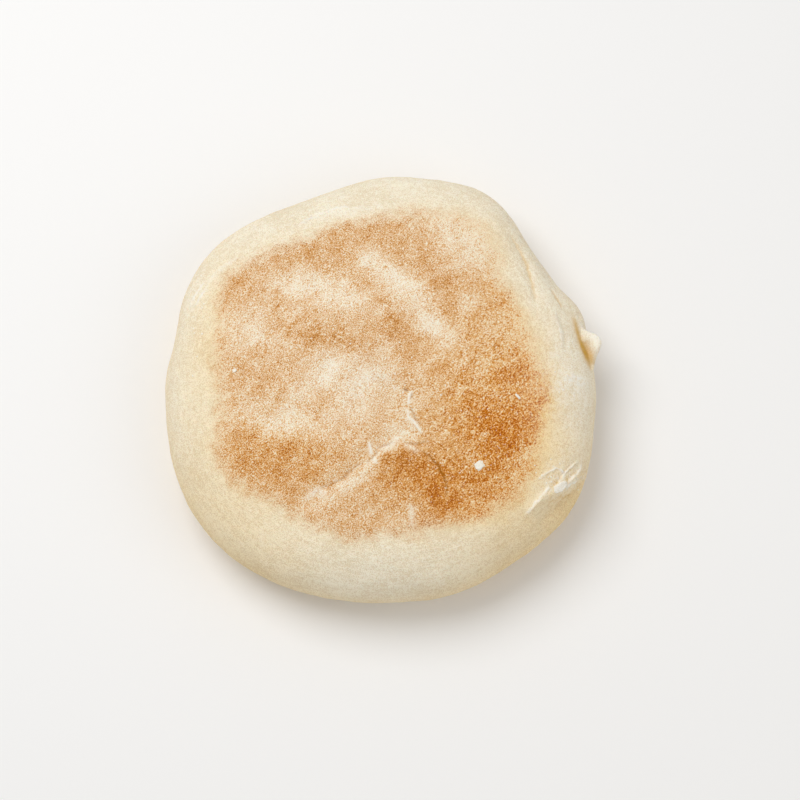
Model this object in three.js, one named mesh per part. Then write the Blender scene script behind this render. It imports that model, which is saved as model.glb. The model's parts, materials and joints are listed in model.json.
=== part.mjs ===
// A thick round of griddle-baked flatbread, lying flat with its browned face up.
// Millimetres, +Z up, the origin under the middle of its bounding box, on the surface it lies on.
// It is one closed solid: a turned round of dough with two griddled faces and a fat rounded wall,
// pulled out of true where the dough rose unevenly, hollowed and creased across its upper face, and
// wrinkled at its near right edge, with a small ear of folded dough on the wall at +X.
import * as THREE from "three";
import { mergeVertices } from "three/addons/utils/BufferGeometryUtils.js";

// ---- driving dimensions ----
const RADIUS = 75; // of the turned round, at its belly
const HEIGHT = 38; // from the table to the crown of the upper face
const CROWN = 3; // how far the upper face domes above its own edge
const FACE_RADIUS = 54; // where the upper face turns down into the wall
const BASE_RADIUS = 55; // of the flat underside
const BELLY_HEIGHT = 17; // the widest level of the wall
const FACE_EDGE = HEIGHT - CROWN;

// ---- how finely the surface is cut ----
const TURNS = 128; // steps round the bread
const CROWDED_AT = -4; // degrees from +X, where the steps crowd together for the smallest forms
const CROWDING = 0.42; // 0 spaces the steps evenly
const FACE_RINGS = 20;
const SHOULDER_RINGS = 16;
const UNDER_RINGS = 7;
const BASE_RINGS = 2;
const CURVE_STEPS = 48; // stretches that a fold's curve is measured in
const MERGE_WITHIN = 1e-3; // points closer than this are one

// Where the wall rose or was pressed: outward along the radius, fading to nothing at its reach.
const WALL_PULLS = [
  { name: "far_right_corner", angle: 64, height: 22, outward: 7, reach: 48 },
  { name: "far_middle_swell", angle: 91, height: 22, outward: 2.6, reach: 30 },
  { name: "far_right_flat", angle: 39, height: 20, outward: -2.9, reach: 34 },
  { name: "ear_root_swell", angle: 24, height: 24, outward: 2.9, reach: 16 },
  { name: "far_left_swell", angle: 140, height: 20, outward: 3.5, reach: 48 },
  { name: "left_flat", angle: 164, height: 20, outward: -1.2, reach: 20 },
  { name: "near_left_swell", angle: 222, height: 18, outward: 2.2, reach: 46 },
  { name: "near_flat", angle: 268, height: 18, outward: -1.5, reach: 40 },
  { name: "near_right_swell", angle: 328, height: 24, outward: 2.9, reach: 36 },
];

// Where the upper face lies low: shallow ovals, each with its long axis turned from +X.
const FACE_HOLLOWS = [
  { name: "far_left_streak", at: [-26, 33], length: 26, width: 9, turned: -10, depth: 0.9 },
  { name: "far_dimple", at: [-3, 43], length: 8, width: 7, turned: 0, depth: 0.6 },
  { name: "far_streak", at: [5, 35], length: 17, width: 8, turned: -38, depth: 0.8 },
  { name: "right_streak", at: [17, 19], length: 18, width: 7, turned: -40, depth: 0.7 },
  { name: "left_hollow", at: [-43, 18], length: 24, width: 12, turned: -12, depth: 0.7 },
  { name: "middle_left_hollow", at: [-18, 4], length: 12, width: 10, turned: 45, depth: 0.9 },
  { name: "near_left_streak", at: [-26, -7], length: 26, width: 8, turned: 48, depth: 0.7 },
  { name: "middle_streak", at: [-4, 1], length: 22, width: 9, turned: 60, depth: 1.0 },
  { name: "near_left_band", at: [-34, -14], length: 28, width: 9, turned: -12, depth: 0.7 },
];

// Folds in the skin, as smooth curves through these points. A raised fold has a negative depth, and
// a fold with a higher runOut thins away sooner towards its ends.
const FOLDS = [
  {
    name: "long_valley",
    path: [[-27, -43], [-18, -38.5], [-9, -32.5], [-1, -25], [5, -21.5], [11, -20.5]],
    depth: 1.5,
    width: 3.8,
  },
  {
    name: "valley_branch",
    path: [[9, -21], [13, -25], [20, -31], [23, -37], [23, -44]],
    depth: 0.6,
    width: 2.8,
  },
  {
    name: "middle_wrinkle",
    path: [[11.2, -5], [9.3, -10], [10.8, -14], [14.5, -19]],
    depth: 0.5,
    width: 2.6,
  },
  {
    name: "far_right_fold",
    path: [[49, 53], [55.5, 34], [60.5, 26], [63.7, 13]],
    depth: 0.5,
    width: 3,
  },
  {
    name: "near_right_wrinkle",
    path: [[52, -43], [58, -38.5], [64, -33.5], [69, -26]],
    depth: 0.8,
    width: 2.4,
  },
  {
    name: "near_right_ridge",
    path: [[50, -46], [57, -42], [64.5, -36.5], [71, -28]],
    depth: -0.9,
    width: 2.6,
  },
  {
    name: "ear",
    path: [[70.6, 22.8], [71.9, 18.2], [73, 13.1], [73.9, 6.6]],
    depth: -5,
    width: 3,
    runOut: 1.1,
  },
  {
    name: "ear_crease",
    path: [[66.8, 24], [68.2, 17], [70, 11.5], [72.2, 6.5]],
    depth: 2.6,
    width: 2.1,
  },
];

const UPRIGHT = new THREE.Vector3(0, 0, 1);
const radians = (degrees) => (degrees * Math.PI) / 180;

// 1 at the middle of a stroke, falling smoothly to 0 at its reach.
function fade(distance, reach) {
  const left = 1 - Math.min(distance / reach, 1);
  return left * left * (3 - 2 * left);
}

function polar(radius, degrees, z) {
  return new THREE.Vector3(radius * Math.cos(radians(degrees)), radius * Math.sin(radians(degrees)), z);
}

// ---- the turned round ----
function quarterArc(centreR, centreZ, reachR, reachZ, from, to, steps) {
  return Array.from({ length: steps }, (_, i) => {
    const turn = radians(from + ((to - from) * (i + 1)) / steps);
    return new THREE.Vector2(centreR + reachR * Math.cos(turn), centreZ + reachZ * Math.sin(turn));
  });
}

function faceHeight(r) {
  return FACE_EDGE + CROWN * (1 - (r / FACE_RADIUS) ** 2);
}

// The level of the turned round's upper surface at a radius, over the face and down the shoulder.
function upperHeight(r) {
  if (r <= FACE_RADIUS) return faceHeight(r);
  const share = Math.min((r - FACE_RADIUS) / (RADIUS - FACE_RADIUS), 1);
  return BELLY_HEIGHT + (FACE_EDGE - BELLY_HEIGHT) * Math.sqrt(1 - share * share);
}

// From the middle of the underside, out and up round the wall, to the middle of the upper face.
function profile() {
  const underReach = RADIUS - BASE_RADIUS;
  const shoulderReach = RADIUS - FACE_RADIUS;
  const shoulderRise = FACE_EDGE - BELLY_HEIGHT;
  const base = Array.from(
    { length: BASE_RINGS + 1 },
    (_, i) => new THREE.Vector2((BASE_RADIUS * i) / BASE_RINGS, 0),
  );
  const face = Array.from({ length: FACE_RINGS }, (_, i) => {
    const r = (FACE_RADIUS * (FACE_RINGS - 1 - i)) / FACE_RINGS;
    return new THREE.Vector2(r, faceHeight(r));
  });
  return [
    ...base,
    ...quarterArc(BASE_RADIUS, BELLY_HEIGHT, underReach, BELLY_HEIGHT, -90, 0, UNDER_RINGS),
    ...quarterArc(FACE_RADIUS, BELLY_HEIGHT, shoulderReach, shoulderRise, 0, 90, SHOULDER_RINGS),
    ...face,
  ];
}

// Shared vertices are merged, and the triangles that shrink to nothing at the axis are dropped.
function closed(geometry) {
  geometry.deleteAttribute("normal");
  geometry.deleteAttribute("uv");
  const merged = mergeVertices(geometry, MERGE_WITHIN);
  const kept = [];
  for (let i = 0; i < merged.index.count; i += 3) {
    const corners = [0, 1, 2].map((c) => merged.index.getX(i + c));
    if (new Set(corners).size === 3) kept.push(...corners);
  }
  merged.setIndex(kept);
  return merged;
}

// Turns each point about the axis, so that the steps round the bread crowd towards one side.
function crowded(geometry) {
  const { position } = geometry.attributes;
  const centre = radians(CROWDED_AT);
  for (let i = 0; i < position.count; i++) {
    const point = new THREE.Vector3().fromBufferAttribute(position, i);
    const away = Math.atan2(point.y, point.x) - centre;
    position.setXYZ(i, ...point.applyAxisAngle(UPRIGHT, -CROWDING * Math.sin(away)));
  }
  return geometry;
}

// ---- the strokes that shape it ----
// A pull goes level, so the underside stays flat.
function pullWall(point, { angle, height, outward, reach }) {
  const share = fade(point.distanceTo(polar(RADIUS, angle, height)), reach);
  return polar(outward * share, angle, 0);
}

function hollowDepth(point, { at, length, width, turned, depth }) {
  const turn = radians(turned);
  const [x, y] = [point.x - at[0], point.y - at[1]];
  const along = (x * Math.cos(turn) + y * Math.sin(turn)) / (length / 2);
  const across = (y * Math.cos(turn) - x * Math.sin(turn)) / (width / 2);
  return depth * Math.exp(-(along * along + across * across));
}

// The curve is laid on the turned round's upper surface.
function laidCurve(path) {
  const points = path.map(([x, y]) => new THREE.Vector3(x, y, upperHeight(Math.hypot(x, y))));
  return new THREE.CatmullRomCurve3(points).getPoints(CURVE_STEPS);
}

// A fold is deepest along its curve, and runs out at the curve's two ends.
function foldDepth(point, curve, { depth, width, runOut = 0.5 }) {
  const distances = curve.map((p) => p.distanceTo(point));
  const nearest = distances.indexOf(Math.min(...distances));
  const taper = Math.sin((Math.PI * (nearest + 0.5)) / (CURVE_STEPS + 1)) ** runOut;
  return depth * taper * Math.exp(-((distances[nearest] / width) ** 2));
}

function shaped(geometry) {
  geometry.computeVertexNormals();
  const { position, normal } = geometry.attributes;
  const curves = FOLDS.map(({ path }) => laidCurve(path));
  for (let i = 0; i < position.count; i++) {
    const start = new THREE.Vector3().fromBufferAttribute(position, i);
    const outwards = new THREE.Vector3().fromBufferAttribute(normal, i);
    const moved = start.clone();
    for (const pull of WALL_PULLS) moved.add(pullWall(start, pull));
    FOLDS.forEach((fold, f) => moved.addScaledVector(outwards, -foldDepth(start, curves[f], fold)));
    if (start.z > BELLY_HEIGHT) {
      for (const hollow of FACE_HOLLOWS) moved.z -= hollowDepth(start, hollow);
    }
    position.setXYZ(i, ...moved);
  }
  return geometry;
}

const round = crowded(closed(new THREE.LatheGeometry(profile(), TURNS).rotateX(Math.PI / 2)));
const bread = shaped(round);
bread.computeBoundingBox();
const middle = bread.boundingBox.getCenter(new THREE.Vector3());
bread.translate(-middle.x, -middle.y, -bread.boundingBox.min.z);
bread.computeVertexNormals();

const griddledCrust = new THREE.MeshStandardMaterial({ color: 0xe2c191, roughness: 0.85, metalness: 0 });
const flatbread = new THREE.Mesh(bread, griddledCrust);
flatbread.name = "flatbread";

const group = new THREE.Group();
group.add(flatbread);
export default group;
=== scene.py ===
"""A thick griddle-baked flatbread, lying flat with its browned face up.

The bread is one skin of dough. A fat round blank is cut from a cylinder and pulled out of true, joined
to a small ear of folded dough, remeshed to an even skin, and then hollowed, creased and roughened.
Where it lay on the griddle it carries a toast map, painted patch by patch, that its material reads.
A few scraps of flour and dried dough lie on it.
"""
import json
import math
import random

import bmesh
import bpy
import numpy as np
from mathutils import Matrix, Vector, noise

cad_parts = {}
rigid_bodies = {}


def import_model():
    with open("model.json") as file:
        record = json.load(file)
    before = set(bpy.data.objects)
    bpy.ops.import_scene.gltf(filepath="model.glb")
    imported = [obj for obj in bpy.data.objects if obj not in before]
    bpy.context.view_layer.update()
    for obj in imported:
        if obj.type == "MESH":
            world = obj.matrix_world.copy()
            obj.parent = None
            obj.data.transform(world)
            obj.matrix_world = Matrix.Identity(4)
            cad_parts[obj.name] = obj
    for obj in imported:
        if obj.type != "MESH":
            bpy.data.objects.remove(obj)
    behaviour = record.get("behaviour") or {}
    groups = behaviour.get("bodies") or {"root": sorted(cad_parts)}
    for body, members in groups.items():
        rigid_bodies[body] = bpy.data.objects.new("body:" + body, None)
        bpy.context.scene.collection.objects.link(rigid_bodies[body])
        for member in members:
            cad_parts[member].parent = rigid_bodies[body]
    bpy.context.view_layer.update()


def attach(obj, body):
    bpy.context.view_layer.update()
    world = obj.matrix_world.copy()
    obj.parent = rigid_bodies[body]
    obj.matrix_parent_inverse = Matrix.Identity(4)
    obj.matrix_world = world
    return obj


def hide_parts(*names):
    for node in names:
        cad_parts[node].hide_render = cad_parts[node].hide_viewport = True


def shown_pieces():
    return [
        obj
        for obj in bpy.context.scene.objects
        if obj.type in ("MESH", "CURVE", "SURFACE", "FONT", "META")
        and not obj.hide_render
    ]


MM = 0.001
BODY = "root"
NODE = "flatbread"
NOISE_SEED = 7  # of every smooth noise below; 0 would draw a new one in each run

# Every place below is in millimetres about the axis of the turned round, which stands here.
AXIS = Vector((-1.061, -2.819, 0)) * MM

# ---- the blank ----
RADIUS = 75  # at the belly
FACE_RADIUS = 54  # where the upper face turns down into the wall
BASE_RADIUS = 55  # of the flat underside
FACE_EDGE = 35  # height of the upper face at its own edge
CROWN = 3  # how far the upper face domes above that edge
BELLY_HEIGHT = 17
BLANK_SIDES = 96
WALL_STEPS = 12
CROWN_RINGS = 6

# ---- the skin ----
SKIN_GRAIN = 0.87  # size of a face of the even skin
SKIN_SMOOTHING = 4  # passes that take the steps out of it
FINE_REACH = 1.25  # how near a fine fold the skin is cut finer
FINE_CUTS = 3
FINE_SMOOTHING = 6  # passes that even out the finer faces
CURVE_STEPS = 60  # stretches that a fold's curve is measured in
STROKES_ABOVE = 17  # strokes that are placed in plan fade out down the wall, over
STROKES_OVER = 5  # this much of its height
SNUG_CLIMB = 20  # a snug curve moves aside by one to lie higher on the skin by this much
STROKE_TAIL = 4  # how many of its widths away a stroke has faded out
LEVEL_SLACK = 9  # how far from the blank's own level the skin is still cut finer along a curve
FAINTEST = 0.002  # share of its deepest below which a stroke leaves the skin alone

# Where the wall rose or was pressed: outward along the radius, fading to nothing at its reach.
WALL_PULLS = {
    "far_right_corner": dict(angle=64, height=22, outward=7, reach=48),
    "far_middle_swell": dict(angle=91, height=22, outward=2.6, reach=30),
    "far_right_flat": dict(angle=39, height=20, outward=-2.2, reach=34),
    "far_right_shoulder": dict(angle=46, height=20, outward=-1.5, reach=18),
    "ear_root_swell": dict(angle=22, height=24, outward=2.3, reach=14),
    "far_left_swell": dict(angle=140, height=20, outward=3.5, reach=48),
    "left_flat": dict(angle=164, height=20, outward=-1.2, reach=20),
    "near_left_swell": dict(angle=222, height=18, outward=2.2, reach=46),
    "near_flat": dict(angle=268, height=18, outward=-1.5, reach=40),
    "near_right_swell": dict(angle=328, height=24, outward=2.9, reach=36),
}

# Where the upper face lies low: shallow ovals, each with its long axis turned from +X.
FACE_HOLLOWS = {
    "far_left_streak": dict(at=(-26, 33), length=26, width=9, turned=-10, depth=0.5),
    "far_dimple": dict(at=(-3, 43), length=8, width=7, turned=0, depth=0.3),
    "far_streak": dict(at=(5, 35), length=17, width=8, turned=-38, depth=0.4),
    "right_streak": dict(at=(17, 19), length=18, width=7, turned=-40, depth=0.4),
    "left_hollow": dict(at=(-43, 18), length=24, width=12, turned=-12, depth=0.5),
    "middle_left_hollow": dict(at=(-18, 4), length=12, width=10, turned=45, depth=0.5),
    "near_left_streak": dict(at=(-26, -7), length=26, width=8, turned=48, depth=0.4),
    "middle_streak": dict(at=(-4, 1), length=22, width=9, turned=60, depth=0.5),
    "near_left_band": dict(at=(-34, -14), length=28, width=9, turned=-12, depth=0.5),
}
HOLLOWS_WANDER = dict(across=9, by=2.2)  # their edges wander by this much

# Broad folds in the skin along smooth curves through these points: pressed in by depth, or raised.
LONG_VALLEY = [(-27, -43), (-18, -38.5), (-9, -32.5), (-1, -25), (5, -21.5), (11, -20.5)]
BROAD_PRESSED = {
    "long_valley": dict(path=LONG_VALLEY, width=3.2, depth=0.9),
    "far_right_fold": dict(path=[(45, 55), (49.5, 44), (52.5, 34), (54.5, 24)], width=1.5, depth=0.5),
    "near_right_turn": dict(path=[(54, -49), (61, -43), (68, -37), (73, -30)], width=2.6, depth=2.8),
    "right_fold": dict(path=[(60.9, 24), (62.2, 20.6), (63.5, 15.4), (63.8, 11)], width=1.2, depth=0.35),
}
PLEAT = [(-19, -42.5), (-13.5, -38.7), (-8.2, -34.6), (-3.2, -30.6), (1.4, -26.6), (6, -24)]
BROAD_RAISED = {
    "valley_pleat": dict(path=PLEAT, width=2.0, depth=0.5),
    "wrinkle_flank": dict(path=[(8, -9.6), (8.3, -12.4), (9.6, -15.4), (11, -17.6)], width=0.9, depth=0.2),
    "near_right_lip": dict(path=[(50, -45), (55, -40.5), (60.5, -36.8), (68, -30)], width=1.5, depth=1.0),
    "far_right_swell": dict(path=[(50, 50), (55, 37), (59, 26), (63, 14)], width=3, depth=0.7),
}
# Fine ridges of tight skin, paler than the skin round them and dusted with flour; their whiteness is partly
# a painted highlight along the crests.
FACE_RIDGES = {
    "valley_tick": [(-3.7, -22.4), (-3, -24.7), (-2.7, -26.5)],
    "valley_second_tick": [(-1.8, -27.6), (-0.7, -29.8)],
    "wrinkle_head": [(10.7, -5), (9.8, -7.8), (10, -9.2)],
    "wrinkle_body": [(9, -11.2), (10.1, -13.7), (11.5, -15.5), (13.1, -17.9), (14.3, -19.2)],
}
SOFT_RIDGES = {
    "valley_hook": [(-25.1, -41.5), (-22.8, -39.9), (-20.4, -38.7), (-18.7, -39.6), (-17.1, -39.9)],
    "valley_crest": [(0, -25.1), (2.7, -24.1), (5, -22), (6.7, -20.6)],
    "branch_crest": [(8.4, -23.4), (11.1, -24.7), (13.4, -25.7)],
    "near_line": [(10, -43), (11, -47), (11, -51)],
    "right_line": [(59.9, 24.4), (61.1, 21.1), (62.2, 15.9), (62.6, 11.8)],
    "right_cross": [(57.3, 8.9), (59.4, 8.9), (61.7, 8.2)],
    "right_second_cross": [(60.1, 2.5), (63.4, 2.1), (67, 1.6)],
    "left_long": [(-60.3, 33.8), (-57.4, 38.2), (-53.4, 41.6), (-49, 44.7)],
}
WALL_RIDGES = {
    "loop": [(53.5, -34.4), (57, -32), (59.5, -30.5), (61.6, -31), (62, -33), (61, -34.4)],
    "long": [(60.6, -35), (62.4, -32.2), (63.9, -30.2), (67.5, -26.8)],
    "short": [(66.2, -32.2), (67.6, -30.3), (68.8, -27.8)],
    "outer": [(62.8, -37.3), (64.1, -35.6), (65.4, -34)],
    "left": [(54.3, -39.8), (56, -38), (57.7, -36.3)],
    "lip": [(49.5, -46), (52.4, -42.4), (54.2, -40.4), (56.2, -38.4)],
    "ring_far": [(63.9, -34.6), (65, -32.9), (66.4, -32.2), (67.2, -33.2)],
    "ring_near": [(64, -34.6), (65.6, -34.3), (66.7, -33.4), (67.2, -32.4)],
    "outer_nub": [(69, -31.6), (70.2, -30.4), (71, -29)],
    "last_nub": [(71.4, -29), (72.2, -27.8), (72.6, -26.6)],
    "left_fibre": [(-66, 27.6), (-64.4, 31), (-62.2, 34.4), (-60.4, 36.6)],
    "left_second_fibre": [(-63.8, 27.6), (-61.9, 30.5), (-59.7, 33.6)],
    "far_fibre": [(-23, 60.4), (-19.6, 60.6), (-15.3, 62.4), (-11, 63)],
    "far_second_fibre": [(-28, 57), (-24.5, 58.6), (-21, 59.2)],
}
FACE_RIDGE_HEIGHT = 0.3
WALL_RIDGE_HEIGHT = 0.5
SOFT_RIDGE_HEIGHT = 0.22
RIDGE_WIDTH = 0.5
SOFT_RIDGE_WIDTH = 0.95
RIDGE_WANDER = dict(across=1.6, by=0.5)
# Fine furrows beside them, whose beds carry a faint painted brown shade line, and those whose bed carries a
# strong one.
FACE_FURROWS = {
    "valley_bed": [(-20, -38), (-13.4, -35.5), (-9.4, -32), (-5, -29)],
    "tick_fold": [(-4.4, -29.6), (-1.6, -27), (-1, -24.7)],
    "valley_head": [(-0.7, -24.4), (2.4, -23.4), (4.4, -22)],
    "branch_right": [(8.4, -22.3), (10.8, -23), (13.4, -23), (16.8, -22.3)],
    "wrinkle_head_side": [(11.2, -5.8), (10.7, -7.8)],
    "wrinkle_side": [(10.3, -10.6), (11.1, -12.3), (12.5, -15.1), (13.7, -16.9)],
}
# Furrows with a strong painted brown shade line down their beds.
BROWN_SHADE_FURROWS = {
    "branch_low": [(14.5, -25.5), (17.5, -28.1), (19.5, -30.1), (20.8, -32.5), (22.1, -35.2), (22.6, -41)],
    "wrinkle_dash": [(8.2, -3.7), (9.9, -4.9)],
}
# Furrows whose beds are painted amber: painted shade in the folds, warm like light seen through thin dough.
AMBER_SHADE_FURROWS = {
    "inner": [(57.5, -36.6), (60, -34.6), (62.6, -31), (65, -28.6)],
    "outer": [(62.5, -35.2), (64.3, -32.6), (66.4, -29.9)],
    "under_lip": [(56, -42.5), (60.5, -39.6), (65, -37), (69, -33)],
    "far_right_line": [(45.5, 54), (49.9, 44.2), (52.1, 36.8), (53.6, 29)],
    "far_right_second": [(59, 34), (61, 30.6), (62.6, 27)],
}
FURROW_DEPTH = 0.26
FURROW_WIDTH = 0.6
CREASE_SHADE_WIDTH = 0.44  # of the painted brown shade line down a furrow's bed

# Dough unevenness: how far across and how high the swellings are. It sets in above the underside.
UNEVENNESS = {
    "broad": dict(across=28, height=1.2),
    "middling": dict(across=9, height=0.45),
    "close": dict(across=2.6, height=0.14),
}
UNEVEN_ABOVE = 0.4
UNEVEN_OVER = 5

# The ear: a ball pressed to a leaf of skin that stands out of the wall along its own middle line.
EAR_MIDDLE = (70.9, 16, 25)
EAR_TURN = 17  # degrees, of its length from +Y
EAR_TILT = -16  # degrees that its rim is lifted
EAR_SIZE = (4.3, 11.0, 2.2)  # half its width, length and thickness
# Each pull: the place, the move, and how far it reaches.
EAR_PULLS = {
    "tip": dict(at=(74.8, 16.6, 26.2), move=(1.4, 0.1, 0.3), reach=4.8),
    "notch": dict(at=(73, 21.4, 26), move=(-0.9, -0.3, -0.3), reach=2.6),
    "far_end": dict(at=(67.8, 25.6, 25.5), move=(-1.7, 1.4, -1.9), reach=7),
    "far_rim": dict(at=(71.4, 22.6, 26), move=(-1.5, 0.6, -0.5), reach=4),
    "near_end": dict(at=(73.9, 8.4, 25), move=(-1.5, 0.6, -1.9), reach=7),
    "pocket": dict(at=(71.6, 13, 26.8), move=(-0.2, 0, -1), reach=4.5),
    "far_root": dict(at=(72, 20.5, 22.8), move=(-0.6, 0, -4), reach=5.5),
    "middle_root": dict(at=(73, 15.5, 22.8), move=(-0.6, 0, -4.5), reach=5.5),
    "near_root": dict(at=(73.6, 10.5, 22.8), move=(-0.6, 0, -4), reach=5.5),
}
EAR_CREASE = [(67, 24.5), (67.8, 21), (69.1, 16), (70.9, 11), (72.8, 6.4)]
EAR_POCKET = [(70.6, 16.5), (71.6, 13.2), (72.8, 10.6), (73.9, 8.4)]
# The ear's rim is painted pale: a painted highlight where light catches its thin edge.
EAR_RIM_HIGHLIGHT = dict(at=(75, 19), length=6, width=11, turned=12)
EAR_ROOT = 22  # height at which its painted rim highlight has faded out, over
EAR_ROOT_OVER = 4  # this much of its height
# Painted amber shade down the crease behind the ear and in its pocket.
EAR_AMBER_SHADE = {
    "crease_shade": dict(path=EAR_CREASE, width=1.0, depth=0.85),
    "pocket": dict(path=EAR_POCKET, width=1.6, depth=0.75),
}

# ---- the toast map ----
TOAST_CENTRE = (0, 5)
TOAST_RADIUS = 58
TOAST_SOFTNESS = 5.5  # how far the toast takes to fade, to either side of its edge
TOAST_GROUND = 0.49
TOAST_WANDER = [dict(across=16, by=2.6), dict(across=5, by=1.6), dict(across=2.3, by=0.9)]
# Where the toasted area's edge stands out or in: degrees about its centre, by how much, how broadly.
TOAST_EDGE = {
    "right": dict(angle=10, outward=-5.3, spread=17),
    "upper_right": dict(angle=30, outward=-7, spread=14),
    "far_right_corner": dict(angle=57, outward=3.5, spread=9),
    "far_middle": dict(angle=98, outward=-5.5, spread=24),
    "far_left_dip": dict(angle=121, outward=-4, spread=11),
    "far_left": dict(angle=150, outward=2.5, spread=9),
    "left": dict(angle=186, outward=-4, spread=16),
    "near_left": dict(angle=216, outward=5, spread=14),
    "near_middle": dict(angle=256, outward=1, spread=22),
    "near_right": dict(angle=316, outward=6, spread=17),
}
DARK_PATCHES = {
    "right_heart": dict(at=(38, -16), length=32, width=46, turned=-20, much=0.22),
    "right_core": dict(at=(43, -20), length=16, width=16, turned=-20, much=0.14),
    "right_upper_core": dict(at=(44, 1), length=16, width=10, turned=30, much=0.08),
    "near_left": dict(at=(-32, -28), length=40, width=20, turned=-10, much=0.14),
    "near_middle": dict(at=(8, -31), length=20, width=14, turned=20, much=0.2),
    "near_right": dict(at=(30, -38), length=26, width=16, turned=20, much=0.12),
    # the near fold's patch is partly toast and partly painted shade along the near edge
    "near_fold_toast_and_shade": dict(at=(15, -34), length=18, width=14, turned=0, much=0.12),
    "near_streak": dict(at=(18, -44), length=10, width=20, turned=0, much=0.2),
    "left_streak": dict(at=(-18, 13), length=30, width=8, turned=-20, much=0.2),
    "middle_spot": dict(at=(6, 16), length=14, width=10, turned=-20, much=0.22),
    "far_right_spot": dict(at=(25, 33), length=22, width=18, turned=0, much=0.1),
    "right_spot": dict(at=(43, 30), length=12, width=16, turned=0, much=0.1),
    "far_middle": dict(at=(8, 50), length=20, width=16, turned=10, much=0.08),
    "far_left_band": dict(at=(-31, 42), length=40, width=13, turned=20, much=0.08),
}
PALE_PATCHES = {
    "far_left_streak": dict(at=(-28, 34), length=26, width=10, turned=-10, much=0.32),
    "far_left_tail": dict(at=(-12, 27), length=20, width=10, turned=-30, much=0.24),
    "far_dimple": dict(at=(-3, 42), length=10, width=9, turned=0, much=0.36),
    "far_streak": dict(at=(6, 34), length=20, width=9, turned=-38, much=0.4),
    "right_streak": dict(at=(18, 18), length=20, width=9, turned=-40, much=0.36),
    "left_hollow": dict(at=(-43, 18), length=26, width=16, turned=-12, much=0.22),
    "middle_left": dict(at=(-18, 4), length=14, width=12, turned=45, much=0.34),
    "near_left_streak": dict(at=(-27, -8), length=28, width=9, turned=48, much=0.22),
    "middle_streak": dict(at=(-4, -1), length=28, width=13, turned=60, much=0.32),
    "near_left_band": dict(at=(-32, -15), length=32, width=11, turned=-12, much=0.22),
    "middle": dict(at=(8, -12), length=22, width=16, turned=60, much=0.14),
    "valley_head": dict(at=(8, -21), length=9, width=7, turned=0, much=0.24),
    "far_right_corner": dict(at=(36, 48), length=32, width=22, turned=-40, much=0.32),
    "far_right": dict(at=(50, 22), length=14, width=20, turned=0, much=0.18),
    "far_middle_right": dict(at=(22, 54), length=14, width=12, turned=0, much=0.12),
    "far_right_dot": dict(at=(31, 28), length=8, width=6, turned=20, much=0.18),
    "near_right_corner": dict(at=(51, -29), length=14, width=14, turned=0, much=0.14),
    "left_edge": dict(at=(-53, 2), length=10, width=36, turned=0, much=0.1),
    "right_middle": dict(at=(38, 4), length=16, width=14, turned=0, much=0.1),
}
VALLEY_PALENESS = {
    "bed": dict(path=LONG_VALLEY, width=4.5, depth=0.1),
    "pleat": dict(path=PLEAT, width=2.4, depth=0.24),
}
RIDGE_PALENESS = 0.3
SOFT_RIDGE_PALENESS = 0.15
CRISP_EDGE_PALENESS = 0.12
# Bands along the toast's edge: how far inside it their middle is, and how broad they are.
EDGE_BAND = dict(at=-1.5, width=4)
CRISP_BAND = dict(at=-0.5, width=6)
# How strongly the fine lines are painted, as a share of the strongest.
SOFT_RIDGE_PAINT = 0.35
FACE_CREASE_SHADE_PAINT = 0.5
# the amber is painted shade in the folds
AMBER_SHADE_PAINT = 0.42
# Where the grain of the toast is coarse, crisp and orange.
CRISP_PATCHES = {
    "right": dict(at=(42, -12), length=52, width=72, turned=-12, much=1.0),
    "far_right": dict(at=(44, 27), length=22, width=26, turned=0, much=0.25),
    "near_middle": dict(at=(16, -38), length=40, width=24, turned=0, much=0.4),
    "near_left": dict(at=(-34, -24), length=44, width=26, turned=-14, much=0.4),
}
# Where the pale skin is more golden: its own tone along the toast's edge and at the left, and painted warm
# shade on the near and right walls and the far right corner.
GOLD_EDGE = 0.15  # in the band along the toast's edge
GOLD_CRISP = 0.45  # the same, where the toast is crisp
GOLD_AND_WARM_SHADE_PATCHES = {
    "left": dict(at=(-60, 8), length=18, width=70, turned=-4, much=0.3),
    "right": dict(at=(58, -14), length=16, width=50, turned=10, much=0.4),
    "far_right": dict(at=(36, 52), length=26, width=20, turned=-40, much=0.14),
    "near_right": dict(at=(52, -50), length=70, width=30, turned=40, much=0.45),
    "near_left": dict(at=(-50, -50), length=70, width=32, turned=-38, much=0.4),
}
GOLD_AND_WARM_SHADE_FOOT = dict(below=27, over=15, much=0.5)  # the wall turns golden towards its foot: partly its own browning near the griddle, partly painted warm shade
# The underside lay on the griddle first, and is browned over its flat part.
UNDER_RADIUS = 55
UNDER_GROUND = 0.5
UNDER_PATCHES = {
    "ring_left": dict(at=(-34, 8), length=20, width=44, turned=8, much=0.22),
    "ring_right": dict(at=(33, -12), length=22, width=40, turned=-15, much=0.25),
    "ring_far": dict(at=(6, 38), length=44, width=16, turned=-6, much=0.2),
    "ring_near": dict(at=(-8, -37), length=40, width=16, turned=-12, much=0.18),
    "pale_middle": dict(at=(4, 4), length=38, width=24, turned=35, much=-0.25),
    "pale_left": dict(at=(-22, -18), length=22, width=10, turned=-30, much=-0.2),
    "pale_far": dict(at=(26, 27), length=20, width=9, turned=-45, much=-0.2),
}

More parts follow.
